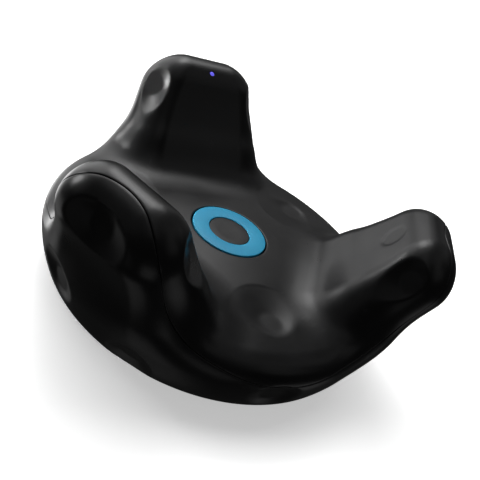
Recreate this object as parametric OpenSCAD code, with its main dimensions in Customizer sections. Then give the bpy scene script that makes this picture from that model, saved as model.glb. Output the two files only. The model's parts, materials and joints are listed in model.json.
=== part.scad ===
// Three-prong motion tracker: a round bowl with three upswept prongs, a
// press-down power button in its dished top and a tripod thread underneath.
// Millimetres. The origin is the centre of the base, where the tripod axis
// meets the surface that the tracker rests on. +Z is up and prong A points
// along +X; prongs B and C follow at 120 and 240 degrees.

/* [Bowl] */
// Height of the dished top above the base, at the middle
top_height = 20; // [19:0.1:21]
// How far the top has dropped at 35 mm from the middle
top_drop = 2; // [0.5:0.1:4]
// Largest radius of the bowl's side
bowl_radius = 42.8; // [41.5:0.1:44]
// Height of the bowl's largest radius
bowl_belly = 18; // [14:0.5:24]
// Radius of the bowl's side if it ran straight down to the base
foot_radius = 36.2; // [34:0.1:38]
// Rounding between the top and the side
rim_round = 6.2; // [3:0.1:8]
// Rounding between the side and the underside
foot_round = 3.8; // [2:0.1:6]
// Wall thickness of both shells
wall = 2; // [1.6:0.1:2.2]

/* [Prongs] */
// Distance of the prong's middle plane from the tripod axis, 30 mm up
prong_out = 39.8; // [38.5:0.1:41]
// Lean of the prong above the horizontal, in degrees
prong_lean = 57.7; // [54:0.1:62]
// Half thickness of the prong
prong_half_thick = 7.9; // [7.2:0.1:8.4]
// Half width of the prong's flat middle, 30 mm up
prong_half_width = 8.35; // [7.4:0.05:9]
// Length from the 30 mm mark to the start of the rounded tip
prong_tip = 4.5; // [3:0.1:6]
// Size of the fillet where a prong grows out of the bowl
prong_blend = 12; // [8:0.5:14]

/* [Button] */
// Radius of the power button
button_radius = 9.2; // [8.5:0.1:10]
// Inner radius of the coloured ring
ring_inner_radius = 5; // [3.5:0.1:6]
// Gap between the button and the shell
button_gap = 0.3; // [0.2:0.05:0.4]
// Travel of the button
button_travel = 0.6; // [0.3:0.05:0.7]

/* [Base] */
// Height of the shell's underside above the surface it rests on
base_lift = 0.6; // [0.4:0.1:0.8]
// Radius of the round base plate
plate_radius = 26; // [25.5:0.1:26.5]
// Radius of the tripod thread's wall, quarter inch with 20 turns per inch
thread_radius = 2.55; // [2.5:0.05:2.6]
// Depth of the tripod thread
thread_depth = 7.3; // [6:0.1:7.4]
// Distance of the stabilising pin hole from the tripod axis
pin_offset = 14; // [13:0.1:14.5]
// Radius of the stabilising pin hole
pin_radius = 2.3; // [2.2:0.05:2.5]
// Depth of the stabilising pin hole
pin_depth = 4.2; // [3.5:0.1:4.5]

/* [Sensor dishes] */
// Radius of the flat disc in the middle of each dish
disc_radius = 2.8; // [2:0.1:3]
// Slope of a dish's cone
dish_slope = 15; // [12:1:24]
// Slope of the wide cones in the top
top_dish_slope = 10; // [8:1:14]
// Radius where the wide cones end against the prongs' roots
top_dish_reach = 10.5; // [9:0.5:12]
// Depth of the dishes in the top
top_dish_depth = 0.6; // [0.4:0.1:1]
// Depth of the dishes on the prongs' sides
side_dish_depth = 1.1; // [0.8:0.1:1.6]
// Depth of the dishes on the prongs' outer faces
outer_dish_depth = 1.6; // [0.8:0.1:1.8]
// Depth of the dishes low on the bowl
low_dish_depth = 1.2; // [0.8:0.1:1.5]
// Depth of the dishes low on a prong's counter-clockwise side
foot_dish_depth = 0.9; // [0.6:0.1:1.2]
// How far below the horizontal those dishes face, in degrees
foot_dish_tilt = 36; // [30:1:38]

/* [Hidden] */
$fn = 48;

BLACK = "#1b1b1d";
DARK = "#2c2d30";
BOARD = "#1d4a33";
METAL = "#b9bcc0";
GOLD = "#caa54a";

PRONGS = [0, 120, 240];
VALLEYS = [60, 180, 300];
prong_mark = 30;
prong_foot = -8;
side_reach = 35;

// The side of the bowl is an arc from the belly down to the foot.
side_inset = bowl_radius - foot_radius;
side_arc = (pow(bowl_belly, 2) + pow(side_inset, 2)) / (2 * side_inset);

// ---- Outer form: distances are negative inside ----

function smooth_max(a, b, k) =
    let (h = max(k - abs(a - b), 0))
    max(a, b) + h * h / (4 * k);

function bowl_distance(r, z) =
    let (
        top = z - top_height + top_drop * pow(r / side_reach, 2),
        side = norm([max(r - bowl_radius + side_arc, 0), z - bowl_belly]) - side_arc
    )
    smooth_max(smooth_max(top, side, rim_round), base_lift - z, foot_round);

// A prong is a flat paddle that leans outwards, thickened to a round edge.
function prong_distance(x, y, z) =
    let (
        dx = x - prong_out,
        dz = z - prong_mark,
        u = dx * cos(prong_lean) + dz * sin(prong_lean),
        v = dz * cos(prong_lean) - dx * sin(prong_lean) - 0.006 * u * u,
        half_width = prong_half_width - 0.21 * u - 0.004 * u * u,
        past_end = max(u - prong_tip, prong_foot - u, 0),
        past_side = max(abs(y) - half_width, 0)
    )
    norm([past_end, past_side, v]) - prong_half_thick - 0.012 * u;

function form_distance(p) =
    let (
        bowl = bowl_distance(norm([p.x, p.y]), p.z),
        prongs = [
            for (a = PRONGS)
            prong_distance(p.x * cos(a) + p.y * sin(a), p.y * cos(a) - p.x * sin(a), p.z)
        ],
        fillets = [for (d = prongs) pow(max(prong_blend - abs(bowl - d), 0), 2)]
    )
    min(bowl, min(prongs)) - (fillets[0] + fillets[1] + fillets[2]) / (4 * prong_blend);

// Distance from an inner point to the form's surface in one direction.
function reach(from, dir, level, near = 0, far = 46, steps = 17) =
    let (mid = (near + far) / 2)
    steps == 0 ? mid
    : form_distance(from + mid * dir) > level ? reach(from, dir, level, near, mid, steps - 1)
    : reach(from, dir, level, mid, far, steps - 1);

function direction(az, el) = [cos(az) * cos(el), sin(az) * cos(el), sin(el)];

// ---- Shell mesh ----
// Each column of the mesh lies in one half plane through the tripod axis. Its
// rays start from a spine that runs out from the axis and end in a fan.

// Columns over half a sector, closest together at a prong's sides.
COLUMN_AZIMUTHS = [each [0:3:9], each [11:1.5:29], 34, 40, 46, 53, 60];
COLUMNS = len(COLUMN_AZIMUTHS) - 1;
spine_low = 9;
fan_start = 138;
fan_end = -118;
seam_gap = 0.3;
seam_pivot = [36, 13.5];

// 1 in the middle of a prong, 0 in the middle of a valley.
function prong_share(az) = (1 + cos(3 * az)) / 2;

// The fan's centre moves up into the prong.
function fan_centre(az) = seam_pivot + pow(prong_share(az), 2) * [1, 5.5];

// The seam is low between the prongs and climbs over their tips.
function seam_angle(az) =
    let (
        p = ray_end(az, [each seam_pivot, -7 + 81 * prong_share(az)], 0),
        c = fan_centre(az)
    )
    atan2(p[1] - c[1], p[0] - c[0]);

function spine_ray(az, t, end_angle) =
    let (c = fan_centre(az), start_angle = sign(end_angle) * 90)
    [c[0] * t, spine_low + (c[1] - spine_low) * t,
     start_angle + (end_angle - start_angle) * t * t];

// Rows lie closer together towards the seam.
function fan_step(k, fans, crowd) = 1 - pow(1 - k / fans, crowd);

function fan_ray(az, angle) = [each fan_centre(az), angle];

function ray_end(az, ray, level) =
    let (
        from = [ray[0] * cos(az), ray[0] * sin(az), ray[1]],
        dir = direction(az, ray[2]),
        p = from + reach(from, dir, level) * dir
    )
    [norm([p.x, p.y]), p.z];

function upper_rays(az, spines, fans, crowd) =
    let (seam = seam_angle(az) + seam_gap / 2)
    concat(
        [for (k = [1:spines]) spine_ray(az, k / spines, fan_start)],
        [for (k = [1:fans]) fan_ray(az, fan_start + (seam - fan_start) * fan_step(k, fans, crowd))]
    );

function lower_rays(az, spines, fans, crowd) =
    let (seam = seam_angle(az) - seam_gap / 2)
    concat(
        [for (k = [1:spines]) spine_ray(az, k / spines, fan_end)],
        [for (k = [1:fans]) fan_ray(az, fan_end + (seam - fan_end) * fan_step(k, fans, crowd))]
    );

function half_sector(upper, spines, fans, level, crowd) =
    [
        for (i = [0:COLUMNS])
        let (az = COLUMN_AZIMUTHS[i])
        let (rays = upper ? upper_rays(az, spines, fans, crowd) : lower_rays(az, spines, fans, crowd))
        [for (ray = rays) ray_end(az, ray, level)]
    ];

// Six mirrored copies of the half sector make each full ring of points.
function ring_points(columns, row) =
    [
        for (sector = PRONGS, m = [0:2 * COLUMNS - 1])
        let (
            i = m <= COLUMNS ? m : 2 * COLUMNS - m,
            az = sector + (m <= COLUMNS ? COLUMN_AZIMUTHS[i] : 120 - COLUMN_AZIMUTHS[i]),
            p = columns[i][row]
        )
        [p[0] * cos(az), p[0] * sin(az), p[1]]
    ];

function pole_point(upper, level) =
    let (d = [0, 0, upper ? 1 : -1])
    [0, 0, spine_low] + reach([0, 0, spine_low], d, level) * d;

RING = 6 * COLUMNS;

// Triangles between two rings that start at point a and point b.
function band_faces(a, b, flip) =
    [
        for (j = [0:RING - 1])
        let (n = (j + 1) % RING)
        each flip
            ? [[a + j, b + j, b + n], [a + j, b + n, a + n]]
            : [[a + j, b + n, b + j], [a + j, a + n, b + n]]
    ];

function pole_faces(pole, a, flip) =
    [
        for (j = [0:RING - 1])
        let (n = (j + 1) % RING)
        flip ? [pole, a + j, a + n] : [pole, a + n, a + j]
    ];

// A closed skin: outer surface, inner surface and the band along the seam.
module shell_skin(upper, outer, inner) {
    out_cols = half_sector(upper, outer[0], outer[1], 0, 1);
    in_cols = half_sector(upper, inner[0], inner[1], -wall, 1.5);
    out_rows = outer[0] + outer[1];
    in_rows = inner[0] + inner[1];
    out_start = 2;
    in_start = out_start + out_rows * RING;
    points = concat(
        [pole_point(upper, 0), pole_point(upper, -wall)],
        [for (k = [0:out_rows - 1]) each ring_points(out_cols, k)],
        [for (k = [0:in_rows - 1]) each ring_points(in_cols, k)]
    );
    faces = concat(
        pole_faces(0, out_start, !upper),
        [for (k = [0:out_rows - 2])
            each band_faces(out_start + k * RING, out_start + (k + 1) * RING, !upper)],
        band_faces(out_start + (out_rows - 1) * RING, in_start + (in_rows - 1) * RING, !upper),
        [for (k = [0:in_rows - 2])
            each band_faces(in_start + k * RING, in_start + (k + 1) * RING, upper)],
        pole_faces(1, in_start, upper)
    );
    polyhedron(points, faces, convexity = 8);
}

// ---- Sensor places ----
// Each place is [inner point, azimuth, elevation, dish depth] in a prong's or a
// valley's own frame, with +X pointing outwards along it.

TOP_PLACE = [[28.7, 0, 10], 0, 90, top_dish_depth];
SIDE_PLACES = [for (s = [1, -1]) [[41.7, 9.1 * s, 31.9], 121.5 * s, 26, side_dish_depth]];
OUTER_PLACE = [[42.1, 0, 34.5], 0, 4.5, outer_dish_depth];
INNER_PLACE = [[40, 0, 31.6], 180, 28.6, 0];
LED_PLACE = [[42.2, 0, 34.6], 180, 57, 0];
LOW_PLACES = [
    [[31, 8.6, 13], 15.5, -foot_dish_tilt, foot_dish_depth],
    [[31, -8.6, 13], -15.5, -18, low_dish_depth]
];
VALLEY_LOW_PLACE = [[31, 0, 12], 0, -19, low_dish_depth];
UPPER_PRONG_PLACES = SIDE_PLACES;
LOWER_PRONG_PLACES = concat([OUTER_PLACE], LOW_PLACES);

floor_thick = 1;
sensor_gap = 0.9;
sensor_thick = 0.9;
dish_over = 4;
root_slope = 50;

// Moves its children to the surface outside a place, with +Z pointing out.
module at_surface(az, place) {
    local_dir = direction(place[1] + az, place[2]);
    from = [
        place[0].x * cos(az) - place[0].y * sin(az),
        place[0].x * sin(az) + place[0].y * cos(az),
        place[0].z
    ];
    hit = from + reach(from, local_dir, 0) * local_dir;
    translate(hit) rotate([0, 90 - place[2], place[1] + az]) children();
}

module dish_cut(az, place) {
    at_surface(az, place) translate([0, 0, -place[3]])
        rotate(4) hull() {
            cylinder(r = disc_radius, h = 0.01, $fn = 26);
            translate([0, 0, dish_over])
                cylinder(r = disc_radius + dish_over / tan(dish_slope), h = 0.01, $fn = 26);
        }
}

// A wide dish in the top: its cone steepens where it meets the prongs' roots.
module top_dish_cut(az) {
    edge = (top_dish_reach - disc_radius) * tan(top_dish_slope);
    widest = top_dish_reach + dish_over / tan(root_slope);
    at_surface(az, TOP_PLACE) translate([0, 0, -TOP_PLACE[3]]) rotate(4) {
        cylinder(r1 = disc_radius, r2 = top_dish_reach, h = edge, $fn = 40);
        translate([0, 0, edge])
            cylinder(r1 = top_dish_reach, r2 = widest, h = dish_over, $fn = 40);
    }
}

module dish_floor(az, place) {
    at_surface(az, place) translate([0, 0, -place[3] - floor_thick])
        cylinder(r = disc_radius + 0.6, h = floor_thick - 0.3, $fn = 20);
}

// Room for a sensor behind a dish where the wall is thick.
module sensor_pocket(az, place) {
    at_surface(az, place) translate([-1.7, -2, -place[3] - floor_thick - 4]) cube([3.4, 4, 4]);
}

// One light sensor package behind its dish.
module sensor(az, place) {
    depth = max(place[3] + floor_thick, wall) + sensor_gap + sensor_thick;
    at_surface(az, place) translate([-1.3, -1.6, -depth]) cube([2.6, 3.2, sensor_thick]);
}

// Pad of the inner frame that presses a sensor against its shell.
module sensor_pad(az, place) {
    depth = max(place[3] + floor_thick, wall) + sensor_gap + sensor_thick + 0.8;
    at_surface(az, place) translate([-1.5, -1.8, -depth]) cube([3, 3.6, 0.75]);
}

// ---- Housing ----

screw_ring = 29.2;
SCREW_AZIMUTHS = [90, 210, 330];
POST_AZIMUTHS = [30, 150, 270];
screw_split = 9;
screw_top = 15;
port_height = 8.35;
seat_top = 4.6;
seat_radius = 27.8;
seat_inner_radius = 22.5;
plate_thick = 2;
plate_top = base_lift + plate_thick;

// Children are repeated around the tripod axis.
module around(azimuths, radius = 0) {
    for (a = azimuths)
        rotate(a) translate([radius, 0, 0]) children();
}

module upper_shell() {
    hole = button_radius + button_gap;
    color(BLACK)
        difference() {
            union() {
                shell_skin(true, [6, 12], [3, 6]);
                for (a = VALLEYS)
                    dish_floor(a, TOP_PLACE);
                for (a = PRONGS, place = UPPER_PRONG_PLACES)
                    dish_floor(a, place);
                translate([0, 0, collar_bottom]) cylinder(r = hole + 1.5, h = 2.2, $fn = 40);
                around(SCREW_AZIMUTHS, screw_ring)
                    translate([0, 0, screw_split]) cylinder(r = 2.8, h = 8.4, $fn = 24);
            }
            for (a = VALLEYS)
                top_dish_cut(a);
            for (a = PRONGS, place = UPPER_PRONG_PLACES)
                dish_cut(a, place);
            translate([0, 0, 10]) cylinder(r = hole, h = 20, $fn = 64);
            around(SCREW_AZIMUTHS, screw_ring)
                translate([0, 0, screw_split - 1]) cylinder(r = 1.15, h = 7.4, $fn = 20);
            at_surface(120, LED_PLACE) translate([0, 0, -6])
                rotate(7) cylinder(r = 0.65, h = 8, $fn = 20);
        }
}

module lower_shell() {
    color(BLACK)
        difference() {
            union() {
                shell_skin(false, [2, 20], [2, 8]);
                for (a = PRONGS, place = LOWER_PRONG_PLACES)
                    dish_floor(a, place);
                for (a = [180, 300])
                    dish_floor(a, VALLEY_LOW_PLACE);
                translate([0, 0, 1]) cylinder(r = seat_radius, h = seat_top - 1);
                around(SCREW_AZIMUTHS, screw_ring)
                    translate([0, 0, 1.6]) cylinder(r = 3.2, h = screw_split - 1.8, $fn = 24);
                around([60]) for (s = [1, -1])
                    translate([31, 5.2 * s, 1.6]) cylinder(r = 1.6, h = 4.4, $fn = 20);
                around([60]) translate([35.5, -6.2, 5.8]) cube([3.4, 12.4, 5]);
            }
            for (a = PRONGS, place = LOWER_PRONG_PLACES)
                dish_cut(a, place);
            for (a = [180, 300])
                dish_cut(a, VALLEY_LOW_PLACE);
            for (a = PRONGS)
                sensor_pocket(a, OUTER_PLACE);
            translate([0, 0, -1]) cylinder(r = plate_radius + 0.2, h = plate_top + 1, $fn = 64);
            translate([0, 0, -1]) cylinder(r = seat_inner_radius, h = 8, $fn = 64);
            around(SCREW_AZIMUTHS, screw_ring) {
                translate([0, 0, -1]) cylinder(r = 2.1, h = 3.7, $fn = 24);
                translate([0, 0, -1]) cylinder(r = 1.3, h = 12, $fn = 20);
            }
            around(POST_AZIMUTHS, 24.3)
                translate([0, 0, 1]) cylinder(r = 0.85, h = 3.3, $fn = 20);
            around([60]) {
                translate([33, -4.1, port_height - 1.6]) cube([12, 8.2, 3.2]);
                translate([40, 0, port_height]) port_recess();
            }
        }
}

// Oval recess in the bowl's side around the port.
module port_recess() {
    hull() for (s = [1, -1])
        translate([0, 2.8 * s, 0]) rotate([0, 90, 0]) cylinder(r = 3.1, h = 6, $fn = 32);
}

// ---- Button and switch ----

collar_bottom = 17;
skirt_bottom = 16.2;
cap_bottom = 17.6;
cap_top = 19.95;
ring_bottom = 19.1;
board_bottom = 13.4;
board_top = 14.4;
switch_top = 16;
plunger_top = 17;

module button_cap() {
    color(BLACK) {
        difference() {
            translate([0, 0, cap_bottom]) cylinder(r = button_radius, h = cap_top - cap_bottom);
            translate([0, 0, ring_bottom - 0.02]) difference() {
                cylinder(r = button_radius + 1, h = 2);
                translate([0, 0, -1]) cylinder(r = ring_inner_radius, h = 4);
            }
        }
        // Skirt with three hooks that catch under the shell's collar.
        difference() {
            translate([0, 0, skirt_bottom])
                cylinder(r = button_radius, h = cap_bottom - skirt_bottom);
            translate([0, 0, 15]) cylinder(r = button_radius - 1, h = 4);
            around(PRONGS) translate([0, -3, 15]) cube([20, 6, cap_bottom - 15]);
        }
        around(VALLEYS) intersection() {
            translate([button_radius - 1, -1.8, skirt_bottom]) cube([2.2, 3.6, 0.7]);
            translate([0, 0, 15]) cylinder(r = button_radius + 1.1, h = 3);
        }
        translate([0, 0, plunger_top + 0.05])
            cylinder(r = 1.8, h = cap_bottom - plunger_top);
    }
}

module button_ring() {
    color("#3a9fd6")
        translate([0, 0, ring_bottom]) difference() {
            cylinder(r = button_radius, h = cap_top - ring_bottom + 0.05);
            translate([0, 0, -1]) cylinder(r = ring_inner_radius + 0.05, h = 4);
        }
}

// Clamped ring, three rising arms and a hub that lifts the button back.
module button_flexure() {
    color("#d8d4c8") {
        translate([0, 0, 16.2]) difference() {
            cylinder(r = 13.4, h = 1.3);
            translate([0, 0, -1]) cylinder(r = 11.3, h = 4);
        }
        translate([0, 0, 17]) difference() {
            cylinder(r = 4.5, h = 0.5);
            translate([0, 0, -1]) cylinder(r = 2.6, h = 4);
        }
        around(PRONGS) hull() {
            translate([11.5, -1.5, 16.2]) cube([0.5, 3, 0.4]);
            translate([3.8, -1.2, 17.1]) cube([0.5, 2.4, 0.4]);
        }
    }
}

module switch_body() {
    color(DARK)
        difference() {
            translate([-3, -3, board_top]) cube([6, 6, switch_top - board_top]);
            translate([0, 0, board_top + 0.15]) cylinder(r = 1.62, h = 4);
        }
}

module switch_plunger() {
    color("#8a2f2a")
        translate([0, 0, board_top + 0.2 + button_travel])
            cylinder(r = 1.55, h = plunger_top - board_top - 0.2 - button_travel);
}

// ---- Electronics ----

module main_board() {
    color(BOARD)
        translate([0, 0, board_bottom]) difference() {
            union() {
                cylinder(r = 25, h = board_top - board_bottom);
                around(VALLEYS) translate([20, -5, 0]) cube([10, 10, board_top - board_bottom]);
            }
            around(POST_AZIMUTHS, 21.8) translate([0, 0, -1]) cylinder(r = 1.1, h = 4);
            translate([-26, -2.5, -1]) cube([6.5, 5, 4]);
        }
}

module processor() {
    color(DARK) translate([8, 5, board_top]) cube([8, 8, 0.9]);
}

module sensor_chips() {
    color(DARK)
        for (place = [[12, -4], [12, -9], [6, -15], [0, -15.5], [-6, -15]])
            translate([place.x, place.y, board_top]) cube([3.2, 3.2, 0.8]);
}

module radio_shield() {
    color(METAL)
        translate([-16.8, 7, board_top]) difference() {
            cube([9.8, 7.5, 1.5]);
            translate([0.3, 0.3, -0.3]) cube([9.2, 6.9, 1.5]);
        }
}

module radio_chip() {
    color(DARK) translate([-14.4, 8.3, board_top]) cube([5, 5, 0.8]);
}

module antenna() {
    color(GOLD)
        translate([-6, 19.5, board_top]) {
            cube([1.2, 3, 1.6]);
            translate([0, 0, 1.6]) cube([12, 3, 0.3]);
            translate([4, 0, 0]) cube([1.2, 3, 1.6]);
        }
}

module flex_connectors() {
    color("#e6e1d3")
        around(PRONGS, 19.6) translate([0, -3.5, board_top]) cube([3, 7, 1.2]);
}

module battery() {
    color("#8f9499") {
        translate([-15.5, -13, 9.4]) cube([31, 26, 3.8]);
        translate([-17, -3.5, 10.6]) cube([1.5, 7, 1.2]);
    }
}

module battery_tape() {
    color("#e9e4d4") translate([-12, -10, 9.2]) cube([24, 20, 0.2]);
}

lead_radius = 0.45;

// Two leads climb from the cell, through the board's notch, to the plug.
module battery_leads() {
    for (s = [1, -1])
        color(s > 0 ? "#b3231d" : "#1b1b1d") translate([0, 1.2 * s, 0]) {
            translate([-20, 0, 11.2]) rotate([0, 90, 0])
                cylinder(r = lead_radius, h = 3, $fn = 20);
            translate([-20, 0, 13.2]) rotate([90, -90, 0])
                rotate_extrude(angle = 180, $fn = 32)
                    translate([2, 0]) circle(r = lead_radius, $fn = 20);
            translate([-20, 0, 15.2]) rotate([0, 90, 0])
                cylinder(r = lead_radius, h = 1, $fn = 20);
        }
}

module battery_plug() {
    color("#f0ece0") translate([-19, -2.5, board_top]) cube([4, 5, 1.7]);
}

carrier_bottom = 8.2;
carrier_floor = 1;
carrier_radius = 25.2;

module inner_carrier() {
    post_height = board_bottom - carrier_bottom;
    color("#3a3c40")
        difference() {
            union() {
                translate([0, 0, carrier_bottom]) difference() {
                    cylinder(r = carrier_radius, h = post_height);
                    translate([0, 0, carrier_floor])
                        cylinder(r = carrier_radius - 1.4, h = post_height);
                }
                around(POST_AZIMUTHS, 21.8)
                    translate([0, 0, seat_top]) cylinder(r = 2.2, h = board_bottom - seat_top);
            }
            around(POST_AZIMUTHS, 21.8)
                translate([0, 0, carrier_bottom + 1.4]) cylinder(r = 0.95, h = 6);
            translate([-27, -2.8, 9.4]) cube([8, 5.6, 6]);
            around([60]) translate([20, -4.2, 10.4]) cube([8, 8.4, 6]);
        }
}

// ---- Prong frames, flexes and sensors ----

// Outline of a strip of even thickness along a path of points.
function side_of(a, b) = let (d = b - a) [-d.y, d.x] / norm(d);
function corner(path, i) =
    let (
        before = side_of(path[max(i - 1, 0)], path[max(i, 1)]),
        after = side_of(path[min(i, len(path) - 2)], path[min(i + 1, len(path) - 1)]),
        both = before + after
    )
    2 * both / (both * both);
function strip_outline(path, thick) = concat(
    [for (i = [0:len(path) - 1]) path[i] + corner(path, i) * thick / 2],
    [for (i = [len(path) - 1:-1:0]) path[i] - corner(path, i) * thick / 2]
);

module strip(path, thick, width) {
    translate([0, width / 2, 0]) rotate([90, 0, 0])
        linear_extrude(width) polygon(strip_outline(path, thick));
}

function on_paddle(u, v) = [
    prong_out + u * cos(prong_lean) - v * sin(prong_lean),
    prong_mark + u * sin(prong_lean) + v * cos(prong_lean)
];

frame_thick = 2;
foot_out = 29.5;
FRAME_PATH = [[25.22, 9.6], [foot_out, 9.6], [foot_out, 14.5], on_paddle(-12, 0), on_paddle(3, 0)];
FLEX_PATH = [[22.6, 15.1], [27.2, 15.1], [28.45, 15.4], on_paddle(-11.7, 1.2), on_paddle(-4, 1.2)];

// The middle of the paddle, where the frame's arms start.
module frame_root() {
    middle = on_paddle(1, 0);
    translate([middle.x, 0, middle.y]) rotate([0, -prong_lean, 0])
        translate([-1.5, -3, -0.8]) cube([3, 6, 1.6]);
}

module prong_frame(inner_place) {
    strip(FRAME_PATH, frame_thick, 13);
    for (place = concat(SIDE_PLACES, [OUTER_PLACE, inner_place]))
        hull() {
            frame_root();
            sensor_pad(0, place);
        }
    for (place = LOW_PLACES)
        hull() {
            translate([foot_out - 0.8, sign(place[1]) * 4 - 1.5, 10]) cube([1.6, 3, 3]);
            sensor_pad(0, place);
        }
}

module prong_frame_a() {
    color("#44464a") prong_frame(INNER_PLACE);
}

module prong_frame_b() {
    color("#44464a") rotate(120) prong_frame(LED_PLACE);
}

module prong_frame_c() {
    color("#44464a") rotate(240) prong_frame(INNER_PLACE);
}

module sensor_flex() {
    color("#b8742a") strip(FLEX_PATH, 0.2, 5);
}

module sensor_flex_a() {
    sensor_flex();
}

module sensor_flex_b() {
    rotate(120) sensor_flex();
}

module sensor_flex_c() {
    rotate(240) sensor_flex();
}

module prong_sensors(az, places) {
    color("#5a5f66")
        for (place = places)
            sensor(az, place);
}

module prong_sensors_a() {
    prong_sensors(0, concat(SIDE_PLACES, LOWER_PRONG_PLACES, [INNER_PLACE]));
}

module prong_sensors_b() {
    prong_sensors(120, concat(SIDE_PLACES, LOWER_PRONG_PLACES));
}

module prong_sensors_c() {
    prong_sensors(240, concat(SIDE_PLACES, LOWER_PRONG_PLACES, [INNER_PLACE]));
}

module valley_sensors() {
    color("#5a5f66") {
        for (a = VALLEYS)
            sensor(a, TOP_PLACE);
        for (a = [180, 300])
            sensor(a, VALLEY_LOW_PLACE);
    }
}

module led_chip() {
    color("#e9e6d8")
        at_surface(120, LED_PLACE) translate([-0.8, -0.5, -3.05]) cube([1.6, 1, 0.55]);
}

module light_pipe() {
    color("#b9b6ff")
        at_surface(120, LED_PLACE) translate([0, 0, -2.45]) cylinder(r = 0.6, h = 2.4, $fn = 24);
}

// ---- USB port, in the valley between prongs A and B ----

usb_mouth = 40;
usb_depth = 5.4;
usb_width = 7.5;
usb_tall = 2.5;

module usb_receptacle() {
    color(METAL)
        rotate(60) translate([usb_mouth - usb_depth, -usb_width / 2, port_height - usb_tall / 2])
            difference() {
                cube([usb_depth, usb_width, usb_tall]);
                translate([0.4, 0.3, 0.3]) cube([usb_depth, usb_width - 0.6, usb_tall - 0.6]);
            }
}

module usb_tongue() {
    color(DARK)
        rotate(60) translate([usb_mouth - usb_depth + 0.4, -1.9, port_height - 0.1])
            cube([3.8, 3.8, 0.6]);
}

module usb_board() {
    color(BOARD)
        rotate(60) translate([28.2, -6.2, port_height - usb_tall / 2 - 1])
            cube([7.1, 12.4, 1]);
}

module usb_flex() {
    path = [[31, 7.25], [27.4, 7.25], [27.4, 12.9], [24, 12.9]];
    color("#b8742a") rotate(60) strip(path, 0.2, 6);
}

// ---- Base ----

module base_plate() {
    color(DARK)
        difference() {
            translate([0, 0, base_lift]) cylinder(r = plate_radius, h = plate_thick);
            translate([0, 0, -1]) cylinder(r = 5.95, h = 6);
            translate([-pin_offset, 0, -1]) cylinder(r = 3.65, h = 6);
            translate([12.2, -4.3, -1]) cube([6.6, 8.6, 6]);
            translate([0, 0, base_lift - 1]) difference() {
                cylinder(r = 22.6, h = 1.5);
                translate([0, 0, -1]) cylinder(r = 19.4, h = 4);
            }
            around(POST_AZIMUTHS, 24.3) {
                translate([0, 0, -1]) cylinder(r = 0.9, h = 6);
                translate([0, 0, -1]) cylinder(r = 1.55, h = base_lift + 1.9);
            }
        }
}

module base_pad() {
    color("#222224")
        difference() {
            cylinder(r = 22.5, h = base_lift + 0.5);
            translate([0, 0, -1]) cylinder(r = 19.5, h = 4);
        }
}

module tripod_insert() {
    color(METAL)
        difference() {
            union() {
                cylinder(r = 5.9, h = plate_top + 0.5);
                translate([0, 0, plate_top]) cylinder(r = 7.4, h = 1.2);
                translate([0, 0, plate_top]) cylinder(r = 4.6, h = 5.2);
            }
            translate([0, 0, -1]) cylinder(r = thread_radius, h = thread_depth + 1);
        }
}

module pin_bush() {
    color(METAL)
        translate([-pin_offset, 0, base_lift]) difference() {
            cylinder(r = 3.6, h = pin_depth + 0.6);
            translate([0, 0, -1]) cylinder(r = pin_radius, h = pin_depth + 1);
        }
}

pad_pitch = 2.5;
pad_radius = 0.85;

// Children are repeated at the six contact pads, two columns of three.
module each_pad() {
    for (x = [-1.25, 1.25], y = [-pad_pitch, 0, pad_pitch])
        translate([15.5 + x, y, 0]) children();
}

module pogo_block() {
    color("#26262a")
        difference() {
            translate([12.3, -4.2, base_lift + 0.1]) cube([6.4, 8.4, 2.8]);
            each_pad() translate([0, 0, -1]) cylinder(r = pad_radius + 0.02, h = 6);
        }
}

module pogo_pads() {
    color(GOLD)
        each_pad() translate([0, 0, base_lift + 0.15]) cylinder(r = pad_radius, h = 3.2);
}

// ---- Fasteners ----

// A screw with its head down, its shank up and a cross recess.
module screw(head_radius, head_height, shank_radius, length) {
    difference() {
        union() {
            cylinder(r = head_radius, h = head_height);
            cylinder(r = shank_radius, h = length);
        }
        for (turn = [0, 90])
            rotate(turn) translate([-head_radius * 0.6, -head_radius * 0.15, -1])
                cube([head_radius * 1.2, head_radius * 0.3, 1 + head_height * 0.6]);
    }
}

module housing_screws() {
    color(METAL)
        around(SCREW_AZIMUTHS, screw_ring) translate([0, 0, 1.1])
            screw(1.9, 1.5, 1.1, screw_top - 1.1);
}

module board_screws() {
    color(METAL)
        around(POST_AZIMUTHS, 21.8) translate([0, 0, board_top + 0.9]) mirror([0, 0, 1])
            screw(1.8, 0.9, 0.9, 4.6);
}

module plate_screws() {
    color(METAL)
        around(POST_AZIMUTHS, 24.3) translate([0, 0, base_lift + 0.1])
            screw(1.5, 0.8, 0.8, 3.5);
}

upper_shell();
lower_shell();
button_cap();
button_ring();
button_flexure();
switch_plunger();
switch_body();
main_board();
processor();
sensor_chips();
radio_shield();
radio_chip();
antenna();
flex_connectors();
battery();
battery_tape();
battery_leads();
battery_plug();
inner_carrier();
prong_frame_a();
prong_frame_b();
prong_frame_c();
sensor_flex_a();
sensor_flex_b();
sensor_flex_c();
prong_sensors_a();
prong_sensors_b();
prong_sensors_c();
valley_sensors();
led_chip();
light_pipe();
usb_receptacle();
usb_tongue();
usb_board();
usb_flex();
base_plate();
base_pad();
tripod_insert();
pin_bush();
pogo_block();
pogo_pads();
housing_screws();
board_screws();
plate_screws();
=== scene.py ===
"""Looks for the three-prong motion tracker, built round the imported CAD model."""
import json
import math

import bpy
import numpy as np
from mathutils import Matrix, Vector


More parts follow.
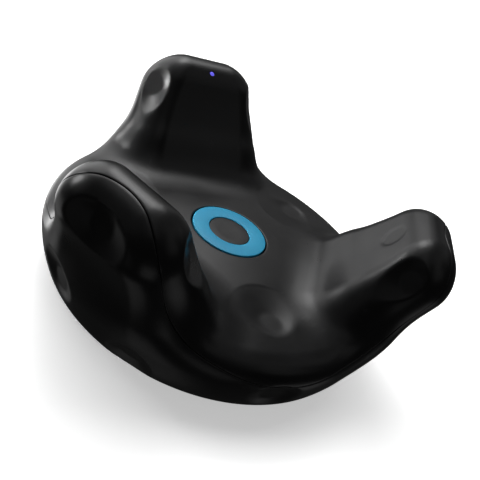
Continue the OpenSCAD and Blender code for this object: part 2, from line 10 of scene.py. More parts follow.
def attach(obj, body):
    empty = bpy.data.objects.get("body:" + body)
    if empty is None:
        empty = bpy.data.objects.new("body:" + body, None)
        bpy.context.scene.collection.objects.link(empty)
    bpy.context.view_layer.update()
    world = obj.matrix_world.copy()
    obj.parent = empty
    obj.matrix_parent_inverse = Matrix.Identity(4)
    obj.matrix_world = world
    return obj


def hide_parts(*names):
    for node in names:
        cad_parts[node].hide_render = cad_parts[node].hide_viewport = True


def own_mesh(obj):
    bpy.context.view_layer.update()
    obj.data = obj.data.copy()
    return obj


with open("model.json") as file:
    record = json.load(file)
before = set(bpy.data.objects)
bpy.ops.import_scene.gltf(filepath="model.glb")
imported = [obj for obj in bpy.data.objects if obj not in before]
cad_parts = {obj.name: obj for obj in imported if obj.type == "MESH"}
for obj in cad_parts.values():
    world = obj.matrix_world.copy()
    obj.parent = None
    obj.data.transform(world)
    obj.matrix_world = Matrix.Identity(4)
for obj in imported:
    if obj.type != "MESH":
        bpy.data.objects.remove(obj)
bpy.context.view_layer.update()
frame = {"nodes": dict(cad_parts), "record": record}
nodes = frame["nodes"]

MM = 0.001
PRONGS = (0, 120, 240)
VALLEYS = (60, 180, 300)
# The radius that stands for the axis in a turned profile.
POLE = 0.02

# ---------------------------------------------------------------- outer form
# The same formulas and dimensions as the CAD source, in millimetres. Distances
# are negative inside.

TOP_HEIGHT = 20
TOP_DROP = 2
SIDE_REACH = 35
BOWL_RADIUS = 42.8
BOWL_BELLY = 18.0
SIDE_INSET = 6.6
SIDE_ARC = (BOWL_BELLY**2 + SIDE_INSET**2) / (2 * SIDE_INSET)
RIM_ROUND = 6.2
FOOT_ROUND = 3.8
BASE_LIFT = 0.6
WALL = 2.0

# A prong is a slab that leans out. Along it, it bends, tapers and thickens.
PRONG_OUT = 39.8
PRONG_MARK = 30
PRONG_LEAN = math.radians(57.7)
PRONG_TIP = 4.5
PRONG_FOOT = -8
PRONG_HALF_WIDTH = 8.35
PRONG_HALF_THICK = 7.9
PRONG_BEND = 0.006
PRONG_TAPER = 0.21
PRONG_CROWN = 0.004
PRONG_SWELL = 0.012
PRONG_BLEND = 12
LEAN_COS, LEAN_SIN = math.cos(PRONG_LEAN), math.sin(PRONG_LEAN)


def smooth_max(a, b, k):
    """The larger of two distances, with a rounding of about k where they cross."""
    h = np.maximum(k - np.abs(a - b), 0)
    return np.maximum(a, b) + h * h / (4 * k)


def bowl_distance(r, z):
    top = z - TOP_HEIGHT + TOP_DROP * (r / SIDE_REACH) ** 2
    side = np.hypot(np.maximum(r - BOWL_RADIUS + SIDE_ARC, 0), z - BOWL_BELLY) - SIDE_ARC
    return smooth_max(smooth_max(top, side, RIM_ROUND), BASE_LIFT - z, FOOT_ROUND)


def prong_distance(x, y, z):
    """Distance from a prong that points along x; u runs up the slab and v through it."""
    dx, dz = x - PRONG_OUT, z - PRONG_MARK
    u = dx * LEAN_COS + dz * LEAN_SIN
    v = dz * LEAN_COS - dx * LEAN_SIN - PRONG_BEND * u * u
    half_width = PRONG_HALF_WIDTH - PRONG_TAPER * u - PRONG_CROWN * u * u
    past_end = np.maximum(np.maximum(u - PRONG_TIP, PRONG_FOOT - u), 0)
    past_side = np.maximum(np.abs(y) - half_width, 0)
    return np.sqrt(past_end**2 + past_side**2 + v * v) - PRONG_HALF_THICK - PRONG_SWELL * u


def form_distance(p):
    """Distance from the whole outer form: the bowl, and its prongs with fillets."""
    x, y, z = p[..., 0], p[..., 1], p[..., 2]
    bowl = bowl_distance(np.hypot(x, y), z)
    lowest, fillets = bowl, 0
    for a in PRONGS:
        c, s = math.cos(math.radians(a)), math.sin(math.radians(a))
        d = prong_distance(x * c + y * s, y * c - x * s, z)
        lowest = np.minimum(lowest, d)
        fillets = fillets + np.maximum(PRONG_BLEND - np.abs(bowl - d), 0) ** 2
    return lowest - fillets / (4 * PRONG_BLEND)


def reach(origin, towards, level=0.0, far=46.0, steps=24, distance=form_distance):
    """Distance from an inner point to a level of the form, by halving."""
    shape = np.broadcast(origin[..., 0], towards[..., 0]).shape
    low, high = np.zeros(shape), np.zeros(shape) + far
    for _ in range(steps):
        mid = (low + high) / 2
        outside = distance(origin + mid[..., None] * towards) > level
        high, low = np.where(outside, mid, high), np.where(outside, low, mid)
    return (low + high) / 2


def direction(az, el):
    """Unit vectors at azimuths and elevations in degrees."""
    az, el = np.radians(az), np.radians(el)
    return np.stack([np.cos(az) * np.cos(el), np.sin(az) * np.cos(el), np.sin(el) + 0 * az], -1)


# ------------------------------------------------------------- sensor dishes
# A dish is a shallow cone with a flat disc at its bottom. Each is an inner point,
# an azimuth and an elevation in its prong's or valley's frame, then its depth
# and the slope of its wall.

DISC_RADIUS = 2.8
# A cone that gets this wide goes on at a steeper slope.
WIDE_REACH = 10.5
ROOT_SLOPE = math.radians(50)
ROOT_COS, ROOT_SIN = math.cos(ROOT_SLOPE), math.sin(ROOT_SLOPE)
ROOT_ROUND = 0.5
DISC_ROUND = 0.12
LIP_ROUND = 0.22
# How far round a dish points can move, and how far inwards.
DISH_NEAR = 14
SEARCH_DEPTH = 3.5

TOP_DISH = ((28.7, 0, 10), 0, 90, 0.6, 10)
SIDE_DISHES = [((41.7, 9.1 * s, 31.9), 121.5 * s, 26, 1.1, 15) for s in (1, -1)]
OUTER_DISH = ((42.1, 0, 34.5), 0, 4.5, 1.6, 15)
FOOT_DISH = ((31, 8.6, 13), 15.5, -36, 0.9, 15)
LOW_DISH = ((31, -8.6, 13), -15.5, -18, 1.2, 15)
VALLEY_LOW_DISH = ((31, 0, 12), 0, -19, 1.2, 15)
WINDOW = ((40, 0, 33.2), 180, 28.6, 0.09, 20)
LED_PLACE = ((42.2, 0, 34.6), 180, 57)


def surface_frame(az, point, turn, tilt):
    """Centre on the surface and outward axis, for a place in the frame at az."""
    c, s = math.cos(math.radians(az)), math.sin(math.radians(az))
    x, y, z = point
    origin = np.array([x * c - y * s, x * s + y * c, z])
    axis = direction(np.float64(turn + az), np.float64(tilt))
    return origin + reach(origin, axis) * axis, axis


def dish(az, point, turn, tilt, depth, slope):
    """Centre, axis, depth and slope of one dish, in the frame at az."""
    return (*surface_frame(az, point, turn, tilt), depth, math.radians(slope))


DISHES = [dish(a, *TOP_DISH) for a in VALLEYS]
DISHES += [dish(a, *VALLEY_LOW_DISH) for a in VALLEYS[1:]]
DISHES += [dish(a, *d) for a in PRONGS for d in (*SIDE_DISHES, OUTER_DISH, FOOT_DISH, LOW_DISH)]
DISHES += [dish(a, *WINDOW) for a in (0, 240)]


def dished(points, towards):
    """Moves surface points inwards, against their rays, to the dishes' surfaces."""
    flat_points = points.reshape(-1, 3)
    flat_rays = towards.reshape(-1, 3)
    for centre, axis, depth, slope in DISHES:
        near = np.nonzero(np.linalg.norm(flat_points - centre, axis=1) < DISH_NEAR)[0]
        ray = flat_rays[near]
        start = flat_points[near] - SEARCH_DEPTH * ray

        def with_dish(p):
            q = p - centre
            h = q @ axis + depth
            rho = np.sqrt(np.maximum((q * q).sum(-1) - (q @ axis) ** 2, 0))
            cone = (rho - DISC_RADIUS) * math.sin(slope) - h * math.cos(slope)
            rise = (WIDE_REACH - DISC_RADIUS) * math.tan(slope)
            root = (rho - WIDE_REACH) * ROOT_SIN - (h - rise) * ROOT_COS
            cut = smooth_max(smooth_max(cone, root, ROOT_ROUND), -h, DISC_ROUND)
            return smooth_max(form_distance(p), -cut, LIP_ROUND)

        moved = reach(start, ray, far=SEARCH_DEPTH + 0.1, steps=22, distance=with_dish)
        flat_points[near] = start + np.minimum(moved, SEARCH_DEPTH)[:, None] * ray
    return flat_points.reshape(points.shape)


# ------------------------------------------------------------ shell surfaces

SEAM_PIVOT = (36.0, 13.5)
FAN_RISE = 5.5
SPINE_LOW = 9
SEAM_AT_VALLEY = -7
SEAM_SWING = 81
SEAM_HALF_GAP = 0.05
# Radius of the shells' rounded edges.
EDGE = 0.24
# From the middle of a prong to the middle of a valley: how many columns of the
# skin's mesh, and how many degrees they take up.
COLUMN_RUNS = ((18, 11), (62, 19), (30, 30))
# Rows that are tried before a column's rows are spaced evenly.
TRIAL_ROWS = 260


def all_columns():
    """Azimuths of the mesh's columns, all the way round."""
    steps = np.concatenate([np.full(count, degrees / count) for count, degrees in COLUMN_RUNS])
    half = np.concatenate([[0.0], np.cumsum(steps)])
    sector = np.concatenate([half, 120 - half[-2:0:-1]])
    return np.concatenate([a + sector for a in PRONGS])


def prong_share(az):
    """1 in the middle of a prong and 0 in the middle of a valley."""
    return (1 + np.cos(np.radians(3 * az))) / 2


def fan_centre(az):
    """Radius and height of the point that the outermost rays fan out from."""
    share = prong_share(az) ** 2
    return SEAM_PIVOT[0] + share, SEAM_PIVOT[1] + FAN_RISE * share


def to_space(az, r, z):
    """Points at azimuths in degrees, radii and heights."""
    az = np.radians(az)
    return np.stack([r * np.cos(az), r * np.sin(az), z], -1)


def seam_angles(az):
    """Elevation of the seam, seen from the fan's centre."""
    way = direction(az, SEAM_AT_VALLEY + SEAM_SWING * prong_share(az))
    origin = to_space(az, SEAM_PIVOT[0] + 0 * az, SEAM_PIVOT[1] + 0 * az)
    p = origin + reach(origin, way)[:, None] * way
    cr, cz = fan_centre(az)
    return np.degrees(np.arctan2(p[:, 2] - cz, np.hypot(p[:, 0], p[:, 1]) - cr))


def spine_and_fan(az, s, first_r, start, turn, seam):
    """Ray origins and directions; s runs from 0 at the spine's start to 2 at the seam."""
    cr, cz = fan_centre(az)
    t = np.clip(s, 0, 1)
    k = np.clip(s - 1, 0, 1)
    r = first_r + (cr - first_r) * t
    z = SPINE_LOW + (cz - SPINE_LOW) * t
    angle = start + (turn - start) * t * t + (seam - turn) * k
    return to_space(az, r, z), direction(az, angle)


def even_steps(az, count, first_r, start, turn, seam):
    """For each column, s values that are evenly spaced along the surface."""
    s = np.linspace(0, 2, TRIAL_ROWS)[:, None] + 0 * az
    origin, way = spine_and_fan(az, s, first_r, start, turn, seam)
    p = origin + reach(origin, way, steps=18)[..., None] * way
    spans = np.linalg.norm(np.diff(p, axis=0), axis=-1)
    lengths = np.concatenate([0 * az[None], np.cumsum(spans, 0)])
    out = np.empty((count, len(az)))
    for i in range(len(az)):
        wanted = np.linspace(0, lengths[-1, i] - EDGE - SEAM_HALF_GAP, count)
        out[:, i] = np.interp(wanted, lengths[:, i], s[:, i])
    return out


def quad_object(name, rings, body):
    """Piece made of quads between rings of points in mm; the last ring joins the first."""
    rings = np.asarray(rings)
    rows, cols = rings.shape[:2]
    index = np.arange(rows * cols).reshape(rows, cols)
    below = np.roll(index, -1, axis=0)
    quads = np.stack([index, below, np.roll(below, -1, axis=1), np.roll(index, -1, axis=1)], -1)
    mesh = bpy.data.meshes.new(name)
    mesh.from_pydata((rings.reshape(-1, 3) * MM).tolist(), [], quads.reshape(-1, 4).tolist())
    mesh.update()
    obj = bpy.data.objects.new(name, mesh)
    bpy.context.scene.collection.objects.link(obj)
    if signed_volume(mesh) < 0:
        mesh.flip_normals()
    mesh.shade_smooth()
    mesh.set_sharp_from_angle(angle=math.radians(50))
    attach(obj, body)
    return obj


def signed_volume(mesh):
    mesh.calc_loop_triangles()
    co = np.empty(len(mesh.vertices) * 3)
    mesh.vertices.foreach_get("co", co)
    tri = np.empty(len(mesh.loop_triangles) * 3, np.int64)
    mesh.loop_triangles.foreach_get("vertices", tri)
    p = co.reshape(-1, 3)[tri.reshape(-1, 3)]
    return np.einsum("ij,ij->i", p[:, 0], np.cross(p[:, 1], p[:, 2])).sum() / 6


def shell_rings(rows, opening_radius, start, turn, opening_edge, inner_rows=14):
    """Closed section of a shell half at every azimuth, from its middle opening to the seam and back."""
    az = all_columns()
    seam = seam_angles(az)
    first_r = opening_radius + EDGE
    s = even_steps(az, rows, first_r, start, turn, seam)
    origin, way = spine_and_fan(az, s, first_r, start, turn, seam)
    outer = origin + reach(origin, way)[..., None] * way
    outer = dished(outer, way + 0 * outer)
    rings = list(outer)
    # Rounded edge along the seam, its face and the inner wall.
    sign = 1 if start > 0 else -1
    cr, cz = fan_centre(az)
    hub = to_space(az, cr, cz)
    far = reach(hub, direction(az, seam))
    for turn_in in (30, 60, 90):
        phi = math.radians(turn_in)
        along = SEAM_HALF_GAP + EDGE * (1 - math.sin(phi))
        way = direction(az, seam + sign * np.degrees(along / far))
        p = hub + (reach(hub, way) - EDGE * (1 - math.cos(phi)))[:, None] * way
        rings.append(p)
    way = direction(az, seam + sign * np.degrees(SEAM_HALF_GAP / far))
    rings.append(hub + reach(hub, way, -WALL)[:, None] * way)
    for step in np.linspace(1.98, 0.02, inner_rows):
        origin, way = spine_and_fan(az, step + 0 * az, first_r, start, turn, seam)
        rings.append(origin + reach(origin, way, -WALL)[:, None] * way)
    # Wall of the middle opening and its rounded edge.
    wall_r = opening_radius + 0 * az
    rings.append(to_space(az, wall_r, opening_edge + 0 * az))
    lip = outer[0][:, 2]
    for turn_in in (90, 60, 30):
        phi = math.radians(turn_in)
        z = lip - sign * EDGE * (1 - math.cos(phi))
        rings.append(to_space(az, wall_r + EDGE * (1 - math.sin(phi)), z))
    return rings


def bore(target, rings):
    """Cuts a closed shape out of a skin, and keeps the result as its mesh."""
    tool = quad_object("bore", rings, "housing")
    cut = target.modifiers.new("bore", "BOOLEAN")
    cut.operation = "DIFFERENCE"
    cut.solver = "MANIFOLD"
    cut.object = tool
    depsgraph = bpy.context.evaluated_depsgraph_get()
    target.data = bpy.data.meshes.new_from_object(target.evaluated_get(depsgraph))
    target.modifiers.clear()
    bpy.data.objects.remove(tool)
    target.data.set_sharp_from_angle(angle=math.radians(30))


def turned(profile, centre=(0, 0, 0), axis=(0, 0, 1), segments=48, stretch=0.0):
    """Rings of a closed profile of (r, h) points, turned round an axis and pulled apart sideways."""
    axis = np.asarray(axis, float)
    side = np.cross((0, 0, 1) if abs(axis[2]) < 0.9 else (1, 0, 0), axis)
    side /= np.linalg.norm(side)
    other = np.cross(axis, side)
    angles = np.radians((np.arange(segments) + 0.5) * 360 / segments)
    pulled = np.sign(np.cos(angles)) * stretch
    return [
        np.asarray(centre)
        + (r * np.cos(angles) + pulled)[:, None] * side
        + (r * np.sin(angles))[:, None] * other
        + h * axis
        for r, h in profile
    ]


SCREW_RING = 29.2
PORT_MOUTH = 40
PORT_HEIGHT = 8.35
LED_HOLE = [(POLE, -2.6), (0.62, -2.6), (0.62, -0.16), (0.78, 0.0), (0.95, 0.4), (POLE, 0.4)]
SCREW_WELL = [(POLE, -1), (2.6, -1), (2.1, 0.75), (2.1, 2.5), (POLE, 2.5)]
PORT_RECESS = [(POLE, 0.0), (3.0, 0.0), (3.1, 0.1), (3.1, 0.7), (4.3, 3.0), (POLE, 3.0)]
PORT_OPENING = [(POLE, -4), (1.45, -4), (1.45, 1.0), (POLE, 1.0)]

upper_rings = shell_rings(rows=150, opening_radius=9.5, start=90, turn=138, opening_edge=17.2)
upper = quad_object("upper_shell_skin", upper_rings, "housing")
lower_rings = shell_rings(rows=120, opening_radius=26.2, start=-90, turn=-118, opening_edge=2.6)
lower = quad_object("lower_shell_skin", lower_rings, "housing")

led_centre, led_axis = surface_frame(120, *LED_PLACE)
bore(upper, turned(LED_HOLE, led_centre, led_axis))
for a in (90, 210, 330):
    bore(lower, turned(SCREW_WELL, to_space(np.float64(a), SCREW_RING, 0.0)))
port_axis = direction(np.float64(60), np.float64(0))
port_centre = port_axis * PORT_MOUTH + (0, 0, PORT_HEIGHT)
bore(lower, turned(PORT_RECESS, port_centre, port_axis, segments=64, stretch=2.8))
bore(lower, turned(PORT_OPENING, port_centre, port_axis, segments=32, stretch=2.45))

# ------------------------------------------------------------------ materials


def principled(name, colour, roughness, metallic=0.0, **inputs):
    """A Principled material and its shader; inputs are sockets, with _ for a space."""
    mat = bpy.data.materials.new(name)
    mat.use_nodes = True
    shader = mat.node_tree.nodes["Principled BSDF"]
    shader.inputs["Base Color"].default_value = (*colour, 1)
    shader.inputs["Roughness"].default_value = roughness
    shader.inputs["Metallic"].default_value = metallic
    for key, value in inputs.items():
        shader.inputs[key.replace("_", " ")].default_value = value
    return mat, shader


def noise(tree, coords, scale, detail, rough=0.5):
    node = tree.nodes.new("ShaderNodeTexNoise")
    node.inputs["Scale"].default_value = scale
    node.inputs["Detail"].default_value = detail
    node.inputs["Roughness"].default_value = rough
    tree.links.new(coords, node.inputs["Vector"])
    return node.outputs["Fac"]


def spread(tree, value, low, high, from_low=0.3, from_high=0.7):
    """Stretches a value's range from_low..from_high to low..high, and clips it there."""
    node = tree.nodes.new("ShaderNodeMapRange")
    node.inputs["From Min"].default_value = from_low
    node.inputs["From Max"].default_value = from_high
    node.inputs["To Min"].default_value = low
    node.inputs["To Max"].default_value = high
    tree.links.new(value, node.inputs["Value"])
    return node.outputs["Result"]


# The colour sockets of a Mix node, which share their names with its others.
MIX_FACTOR, MIX_A, MIX_B, MIX_RESULT = 0, 6, 7, 2
# Patches of slightly different gloss and colour: how many to the metre, and how
# far they change the roughness.
PATCH_SCALE = 70
SMUDGE = 0.05
# The range of pointiness over which an edge goes from new to worn.
WORN_FROM, WORN_TO = 0.52, 0.6
GRAIN_STRENGTH = 0.6


def mixed(tree, factor, one, two):
    """Mixes two colours, the first of which may come from another node."""
    node = tree.nodes.new("ShaderNodeMix")
    node.data_type = "RGBA"
    if isinstance(one, tuple):
        node.inputs[MIX_A].default_value = (*one, 1)
    else:
        tree.links.new(one, node.inputs[MIX_A])
    node.inputs[MIX_B].default_value = (*two, 1)
    tree.links.new(factor, node.inputs[MIX_FACTOR])
    return node.outputs[MIX_RESULT]


def surface(
    name, colour, roughness, grain=3000, depth=0.00001, vary=0.25, metallic=0.0, wear=0.0, **inputs
):
    """A moulded or machined surface: fine grain, patchy gloss and colour, and worn edges.

    grain is in cells to the metre, and depth, its height, in metres.
    """
    mat, shader = principled(name, colour, roughness, metallic, **inputs)
    tree = mat.node_tree
    coords = tree.nodes.new("ShaderNodeTexCoord").outputs["Object"]
    patches = noise(tree, coords, PATCH_SCALE, 4.0, 0.6)
    fine = noise(tree, coords, grain, 2.0)
    light = tuple(min(1.0, c * (1 + vary) + 0.001) for c in colour)
    dark = tuple(c * (1 - vary) for c in colour)
    colour_out = mixed(tree, spread(tree, patches, 0.0, 1.0), dark, light)
    if wear:
        point = tree.nodes.new("ShaderNodeNewGeometry").outputs["Pointiness"]
        worn = tuple(min(1.0, c * 1.6 + 0.02) for c in colour)
        edge = spread(tree, point, 0.0, wear, WORN_FROM, WORN_TO)
        colour_out = mixed(tree, edge, colour_out, worn)
    tree.links.new(colour_out, shader.inputs["Base Color"])
    gloss = spread(tree, patches, roughness - SMUDGE, roughness + SMUDGE)
    tree.links.new(gloss, shader.inputs["Roughness"])
    bump = tree.nodes.new("ShaderNodeBump")
    bump.inputs["Strength"].default_value = GRAIN_STRENGTH
    bump.inputs["Distance"].default_value = depth
    tree.links.new(fine, bump.inputs["Height"])
    tree.links.new(bump.outputs["Normal"], shader.inputs["Normal"])
    return mat


SHELL = surface("shell_plastic", (0.008, 0.008, 0.0087), 0.32, grain=4200, depth=0.000006, wear=0.3)
CAP = surface("cap_plastic", (0.009, 0.009, 0.0098), 0.38, grain=4200, depth=0.000006, wear=0.3)
BLUE = surface("ring_plastic", (0.025, 0.57, 1.0), 0.42, grain=3600, depth=0.000005, vary=0.08)
BY_SLOT = {
    "natural_plastic": surface("acetal", (0.62, 0.59, 0.50), 0.45, vary=0.08),
    "switch_red": surface("switch_red", (0.30, 0.035, 0.025), 0.42, vary=0.12),
    "dark_plastic": surface("dark_plastic", (0.022, 0.022, 0.024), 0.42, wear=0.3),
    "circuit_board": surface("solder_mask", (0.010, 0.075, 0.032), 0.30, grain=1800, vary=0.3),
    "chip": surface("chip_epoxy", (0.018, 0.018, 0.020), 0.55, grain=5200),
    "steel": surface("plated_steel", (0.56, 0.57, 0.58), 0.30, metallic=1.0, vary=0.1, wear=0.2),
    "gold": surface("gold_plate", (0.83, 0.60, 0.24), 0.25, metallic=1.0, vary=0.1),
    "pale_plastic": surface("nylon", (0.66, 0.63, 0.54), 0.5, vary=0.08),
    "cell_foil": surface("cell_foil", (0.50, 0.51, 0.53), 0.38, 900, 0.00003, vary=0.12, metallic=1.0),
    "foam_tape": surface("foam_tape", (0.70, 0.67, 0.58), 0.85, grain=2200, depth=0.00005, vary=0.1),
    "lead_cover": surface("lead_cover", (0.42, 0.02, 0.015), 0.38, vary=0.12),
    "frame_plastic": surface("frame_plastic", (0.05, 0.052, 0.057), 0.5, wear=0.3),
    "flex_film": surface("flex_film", (0.40, 0.16, 0.025), 0.22, grain=1200, vary=0.2),
    "sensor": surface("sensor_epoxy", (0.035, 0.04, 0.05), 0.18, vary=0.2),
    "led": surface("led_ceramic", (0.75, 0.73, 0.62), 0.4, vary=0.06),
    "clear_plastic": surface("clear_plastic", (0.5, 0.5, 0.85), 0.2, vary=0.06),
    "base_plastic": surface("base_plastic", (0.016, 0.016, 0.017), 0.48, 2600, 0.00002, wear=0.3),
    "pad_rubber": surface("pad_rubber", (0.014, 0.014, 0.015), 0.68, 2400, 0.00003, wear=0.2),
    "insert_metal": surface("insert_metal", (0.62, 0.63, 0.64), 0.26, metallic=1.0, vary=0.1, wear=0.2),
    "shell": SHELL,
    "button": CAP,
    "button_ring": BLUE,
}
slot_of = {s["node"]: s["material_slot"] for s in frame["record"]["subparts"]}


def paint(obj, mat):
    obj.data.materials.clear()
    obj.data.materials.append(mat)


def stands_for(obj, mat, node):
    """Gives a piece its material, and hides the CAD node that it stands in for."""
    paint(obj, mat)
    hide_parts(node)


for name, obj in nodes.items():
    paint(obj, BY_SLOT[slot_of[name]])
stands_for(upper, SHELL, "upper_shell")
stands_for(lower, SHELL, "lower_shell")

# --------------------------------------------------------------------- button


def level_ring(angles, r, z, centre=(0, 0)):
    """Points round a vertical axis, at one height."""
    x, y = centre[0] + r * np.cos(angles), centre[1] + r * np.sin(angles)
    return np.stack([x, y, z + 0 * angles], -1)


def lathe(name, profile, body, centre=(0, 0), segments=96):
    """Closed profile of (r, z) points in mm, turned round a vertical axis."""
    angles = np.radians(np.arange(segments) * 360 / segments)
    return quad_object(name, [level_ring(angles, r, z, centre) for r, z in profile], body)


# How finely the corners of a profile are rounded.
CORNER_STEPS = 4


def rounded(points, radius):
    """A closed outline of (r, z) points, rounded at every corner that is not on the axis."""
    out = []
    count = len(points)
    for i, p in enumerate(points):
        if p[0] <= POLE:
            out.append(p)
            continue
        p = np.array(p, float)
        a = np.array(points[i - 1], float) - p
        b = np.array(points[(i + 1) % count], float) - p
        size = min(radius, 0.45 * np.linalg.norm(a), 0.45 * np.linalg.norm(b))
        a, b = a / np.linalg.norm(a) * size, b / np.linalg.norm(b) * size
        for t in np.linspace(0, 1, CORNER_STEPS + 1):
            out.append(tuple(p + a * (1 - t) ** 2 + b * t * t))
    return out


CAP_OUTLINE = [
    (POLE, 17.6), (9.2, 17.6), (9.2, 19.0), (5.15, 19.0), (5.0, 19.86), (2.5, 19.80), (POLE, 19.78),
]
RING_OUTLINE = [(5.12, 19.1), (9.2, 19.1), (9.2, 19.96), (5.12, 19.98)]
cap = lathe("power_button_cap", rounded(CAP_OUTLINE, 0.16), "button")
stands_for(cap, CAP, "button_cap")
ring = lathe("power_button_ring", rounded(RING_OUTLINE, 0.2), "button")
stands_for(ring, BLUE, "button_ring")

# ------------------------------------------------------------ LED and base


def joined(name, parts, body):
    """One object from several sets of rings."""
    pieces = [quad_object(name + "_part", rings, body) for rings in parts]
    with bpy.context.temp_override(active_object=pieces[0], selected_editable_objects=pieces):
        bpy.ops.object.join()
    pieces[0].name = name
    return pieces[0]


LENS = surface(
    "led_lens", (0.10, 0.09, 0.42), 0.12, vary=0.08,
    Emission_Color=(0.16, 0.14, 1.0, 1), Emission_Strength=0.8,
)
LENS_OUTLINE = [(POLE, -2.4), (0.6, -2.4), (0.6, -0.22), (0.3, -0.06), (POLE, -0.04)]
lens = quad_object("status_lens", turned(rounded(LENS_OUTLINE, 0.08), led_centre, led_axis), "housing")
stands_for(lens, LENS, "light_pipe")

# A flat foot with a fine groove along its middle.
PAD_OUTLINE = [
    (19.5, 1.1), (19.5, 0.0), (20.6, 0.0), (20.75, 0.16),
    (21.25, 0.16), (21.4, 0.0), (22.5, 0.0), (22.5, 1.1),
]
pad = lathe("base_ring_pad", rounded(PAD_OUTLINE, 0.16), "housing", segments=192)
stands_for(pad, BY_SLOT["pad_rubber"], "base_pad")

BUSH_OUTLINE = [
    (2.3, 5.0), (2.3, 1.0), (2.65, 0.62), (3.6, 0.62), (3.6, 5.4), (POLE, 5.4), (POLE, 4.8), (2.3, 4.8),
]
bush = lathe("pin_recess", rounded(BUSH_OUTLINE, 0.08), "housing", centre=(-14, 0))
stands_for(bush, BY_SLOT["insert_metal"], "pin_bush")

# The camera thread: a quarter inch across, 20 turns to the inch, with flat
# crests, and a groove that runs out towards its blind end.
PITCH = 1.27
CREST_RADIUS = 2.56
GROOVE_DEPTH = 0.56
THREAD_END = 7.3
RUN_OUT = 0.8
RINGS_PER_TURN = 14
INSERT_OUTLINE = [
    (3.5, 0.02), (5.9, 0.02), (5.9, 2.6), (7.4, 2.6), (7.4, 3.8),
    (4.6, 3.8), (4.6, 7.8), (POLE, 7.8), (POLE, THREAD_END),
]
MOUTH = ((3.2, 0.3), (3.45, 0.05), (3.6, 0.02))
angles = np.radians(np.arange(96) * 360 / 96)
# The outline's first corner is left out, because the mouth ends there.
rings = [level_ring(angles, r, z) for r, z in rounded(INSERT_OUTLINE, 0.12)[CORNER_STEPS + 1:]]
for z in np.arange(THREAD_END, 0.29, -PITCH / RINGS_PER_TURN):
    phase = np.mod(z / PITCH - angles / (2 * math.pi), 1)
    groove = np.clip(1.35 * (1 - np.abs(2 * phase - 1)) - 0.15, 0, 1)
    fade = min(1.0, (THREAD_END - z) / RUN_OUT)
    rings.append(level_ring(angles, CREST_RADIUS + GROOVE_DEPTH * groove * fade, z))
rings += [level_ring(angles, r, z) for r, z in MOUTH]
insert = quad_object("camera_thread", rings, "housing")
stands_for(insert, BY_SLOT["insert_metal"], "tripod_insert")

# The flexure under the button: a copy of the CAD node, with a mesh of its own.
flexure = bpy.data.objects.new("button_spring", nodes["button_flexure"].data.copy())
bpy.context.scene.collection.objects.link(flexure)
flexure.matrix_world = nodes["button_flexure"].matrix_world.copy()
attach(flexure, "housing")
stands_for(flexure, BY_SLOT["natural_plastic"], "button_flexure")
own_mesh(flexure)

CONTACT_OUTLINE = [(POLE, 0.75), (0.84, 0.75), (0.84, 3.9), (POLE, 3.9)]
contact = rounded(CONTACT_OUTLINE, 0.2)
spots = [(x, y, 0) for x in (14.25, 16.75) for y in (-2.5, 0, 2.5)]
pads = joined("contact_pads", [turned(contact, spot, segments=32) for spot in spots], "housing")
stands_for(pads, BY_SLOT["gold"], "pogo_pads")

# Edges of the CAD nodes that show, in metres.
EDGE_WIDTHS = {
    "base_plate": 0.00014,
    "pogo_block": 0.00014,
    "housing_screws": 0.00008,
    "plate_screws": 0.00008,
    "usb_receptacle": 0.00008,
    "usb_tongue": 0.00008,
}
for name, width in EDGE_WIDTHS.items():
    edge = nodes[name].modifiers.new("edge", "BEVEL")
    edge.width = width
    edge.segments = 2
    edge.limit_method = "ANGLE"
    edge.angle_limit = math.radians(50)

# -------------------------------------------------------------- camera, light
# The photograph's viewing angle. The camera looks past the target, by these
# distances to the right and up in the picture.
VIEW_AZ, VIEW_EL, VIEW_ROLL = (math.radians(v) for v in (-5.5603, 30.8751, 26.564))
FOCAL_LENGTH = 58.613625
DISTANCE = 184.7197
TARGET = Vector((0, 0, 18))
AIM_RIGHT, AIM_UP = 3.178465, -0.712652

back = Vector((
    math.sin(VIEW_AZ) * math.cos(VIEW_EL),
    -math.cos(VIEW_AZ) * math.cos(VIEW_EL),
    math.sin(VIEW_EL),
))
level_right = Vector((math.cos(VIEW_AZ), math.sin(VIEW_AZ), 0))
level_up = back.cross(level_right)
right = math.cos(VIEW_ROLL) * level_right + math.sin(VIEW_ROLL) * level_up
up = -math.sin(VIEW_ROLL) * level_right + math.cos(VIEW_ROLL) * level_up

camera_data = bpy.data.cameras.new("camera")
camera_data.sensor_width = 36
camera_data.lens = FOCAL_LENGTH
camera_data.clip_start = 0.01
camera = bpy.data.objects.new("camera", camera_data)
bpy.context.scene.collection.objects.link(camera)
place = (TARGET + DISTANCE * back + AIM_RIGHT * right + AIM_UP * up) * MM
turn = Matrix((right, up, back)).transposed().to_4x4()
camera.matrix_world = Matrix.Translation(place) @ turn
bpy.context.scene.camera = camera


def from_view(az, el):
    """Direction measured from the main view: 0, 0 is towards the camera, and az is to its right."""
    a, e = math.radians(az), math.radians(el)
    return math.sin(a) * math.cos(e) * right + math.sin(e) * up + math.cos(a) * math.cos(e) * back


def hang(name, data, place, way):
    """Adds a light at a place, shining against way."""
    light = bpy.data.objects.new(name, data)
    bpy.context.scene.collection.objects.link(light)
    light.location = place
    light.rotation_mode = "QUATERNION"
    light.rotation_quaternion = way.to_track_quat("Z", "Y")
    return light


LIGHT_DISTANCE = 0.6
LIGHT_TARGET = Vector((0, 0, 0.02))


def soft_box(name, az, el, power, size=0.28):
    """Square light, from a direction in the main view."""
    data = bpy.data.lights.new(name, "AREA")
    data.size = size
    data.energy = power
    way = from_view(az, el)
    hang(name, data, way * LIGHT_DISTANCE + LIGHT_TARGET, way)
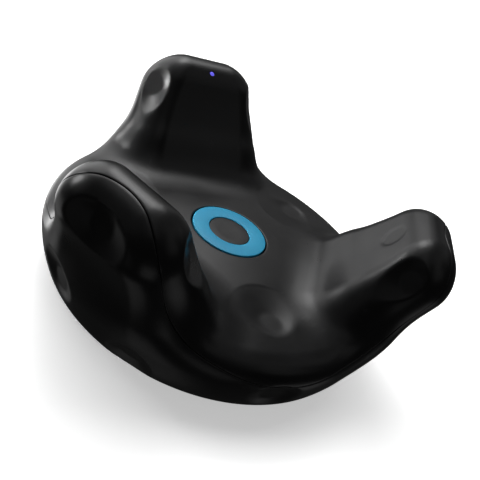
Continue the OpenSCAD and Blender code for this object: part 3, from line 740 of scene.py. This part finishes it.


# Lamps with a task: azimuth and elevation in the main view, and power in watts.
# All but the last two stand behind the object, and give the thin rims along its
# edges. The powers here and below began as a fit to the photograph's shading,
# and were then rounded, grouped and partly changed.
LAMPS = {
    "rear_right": (120, 72, 0.55),
    "rear_middle": (180, 72, 0.28),
    "rear_left": (-145, 50, 0.32),
    "top_left": (-100, 72, 0.34),
    "low_left": (-140, 25, 0.2),
    "side_left": (-115, 0, 0.11),
    "top_right": (60, 72, 0.1),
    "top_front": (-20, 72, 0.07),
}
for name, (az, el, power) in LAMPS.items():
    soft_box(name, az, el, power)
soft_box("left_edge", -150, 15, 0.25, size=0.2)
soft_box("ridges", 100, 82, 0.3, size=0.18)

# Weak lamps fill the shadows: each group's power in watts, and the azimuths and
# elevations of its equal lamps.
FILL = {
    "upper": (0.05, ((25, 50), (145, 50))),
    "right": (0.035, ((20, 25), (60, 25), (90, 25), (60, 0))),
    "left": (0.03, ((-140, 0), (-120, -55))),
    "under": (0.06, ((0, -55), (120, -55))),
    "faint": (0.015, (
        (70, 50), (110, 50), (-70, 50), (115, 25), (140, 25),
        (165, 25), (-20, 25), (-60, 25), (165, 0), (-50, -25),
    )),
}
for name, (power, places) in FILL.items():
    for az, el in places:
        soft_box("fill_%s_%d_%d" % (name, az, el), az, el, power)


def snoot(name, az, el, distance, aim, cone, radius, power):
    """Narrow spot, cone degrees wide, from a direction in the main view and aimed at a point in mm."""
    data = bpy.data.lights.new(name, "SPOT")
    data.energy = power
    data.spot_size = math.radians(cone)
    data.spot_blend = 0.35
    data.shadow_soft_size = radius
    way = from_view(az, el)
    hang(name, data, Vector(aim) * MM + way * distance, way)


# The two bright walls of the dish on the LED's prong, and that prong's flank.
DISH_B = (-31.8, 26.0, 35.0)
FLANK_B = (-33.7, 18.7, 21.4)
snoot("dish_low_wall", -60, 48, 0.15, DISH_B, 8.5, 0.03, 1.1)
snoot("dish_right_wall", -78, 20, 0.15, DISH_B, 8.5, 0.04, 8.0)
snoot("flank", -104, 44, 0.22, FLANK_B, 17, 0.08, 2.2)

# The camera sees a white world, but this is all the light that it gives.
WORLD_LIGHT = 0.02
world = bpy.data.worlds.new("studio")
bpy.context.scene.world = world
world.use_nodes = True
tree = world.node_tree
background = tree.nodes["Background"]
background.inputs["Color"].default_value = (1, 1, 1, 1)
seen = tree.nodes.new("ShaderNodeLightPath").outputs["Is Camera Ray"]
tree.links.new(spread(tree, seen, WORLD_LIGHT, 1.0, 0.0, 1.0), background.inputs["Strength"])

bpy.ops.mesh.primitive_plane_add(size=6, location=(0, 0, 0))
floor = bpy.context.object
floor.name = "floor"
floor.visible_glossy = False
floor.visible_diffuse = False
floor.visible_shadow = False
mat, shader = principled("floor_pale", (0.9, 0.9, 0.9), 0.9)
shader.inputs["Specular IOR Level"].default_value = 0.0
shader.inputs["Emission Color"].default_value = (1, 1, 1, 1)
shader.inputs["Emission Strength"].default_value = 0.48
paint(floor, mat)

# Light on the floor alone, from behind on both sides, so that it is white away
# from the object and carries the two soft shadows in front of it: azimuth,
# elevation, angular size and brightness.
FLOOR_SUNS = {"floor_left": (88, 60, 55, 1.33), "floor_right": (160, 55, 45, 0.84)}
lit = bpy.data.collections.new("floor_only")
lit.objects.link(floor)
for name, (az, el, width, power) in FLOOR_SUNS.items():
    data = bpy.data.lights.new(name, "SUN")
    data.energy = power / math.sin(math.radians(el))
    data.angle = math.radians(width)
    sun = hang(name, data, (0, 0, 0), Vector(direction(np.float64(az), np.float64(el))))
    sun.light_linking.receiver_collection = lit

bpy.context.scene.view_settings.view_transform = "Standard"
